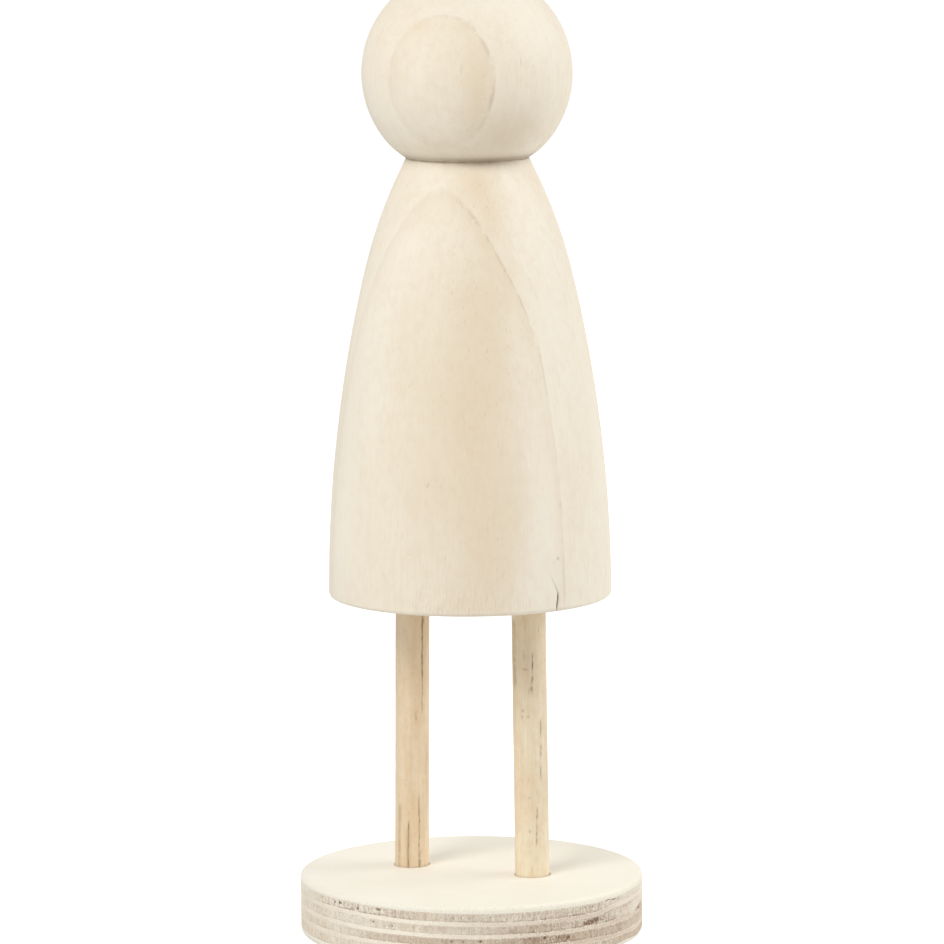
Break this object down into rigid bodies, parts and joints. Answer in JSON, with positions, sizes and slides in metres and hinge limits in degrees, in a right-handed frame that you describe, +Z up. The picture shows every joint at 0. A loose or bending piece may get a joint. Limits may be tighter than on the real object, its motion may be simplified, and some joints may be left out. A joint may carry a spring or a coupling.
{
  "type": "standing wooden peg doll",
  "caption": "Unpainted peg doll: ball head and flared body turned in one, on dowel legs that stand in a round plywood board; for painting or display.",
  "frame": {"origin": "middle of the board's underside, on the surface that the doll stands on", "axes": "+Z up through the head, +X towards the doll's own left along the line of its legs, -Y out of the doll's front"},
  "size_m": [0.08, 0.08, 0.2247],
  "materials": {
    "turned_wood": "bare pale hardwood, turned and sanded smooth, unfinished",
    "dowel_wood": "bare tan dowel with open pores along the grain, unfinished",
    "face_veneer": "smooth sanded pale face veneer, unfinished",
    "crossband": "rough sawn end grain of a thick grey-brown ply",
    "long_ply": "sawn edge of a thin pale ply"
  },
  "bodies": {
    "root": {"head_and_body": "turned_wood", "left_leg": "dowel_wood", "right_leg": "dowel_wood", "face_veneer_top": "face_veneer", "cross_ply_1": "crossband", "long_ply_1": "long_ply", "cross_ply_2": "crossband", "long_ply_2": "long_ply", "cross_ply_3": "crossband", "long_ply_3": "long_ply", "cross_ply_4": "crossband", "face_veneer_bottom": "face_veneer"}
  },
  "joints": []
}
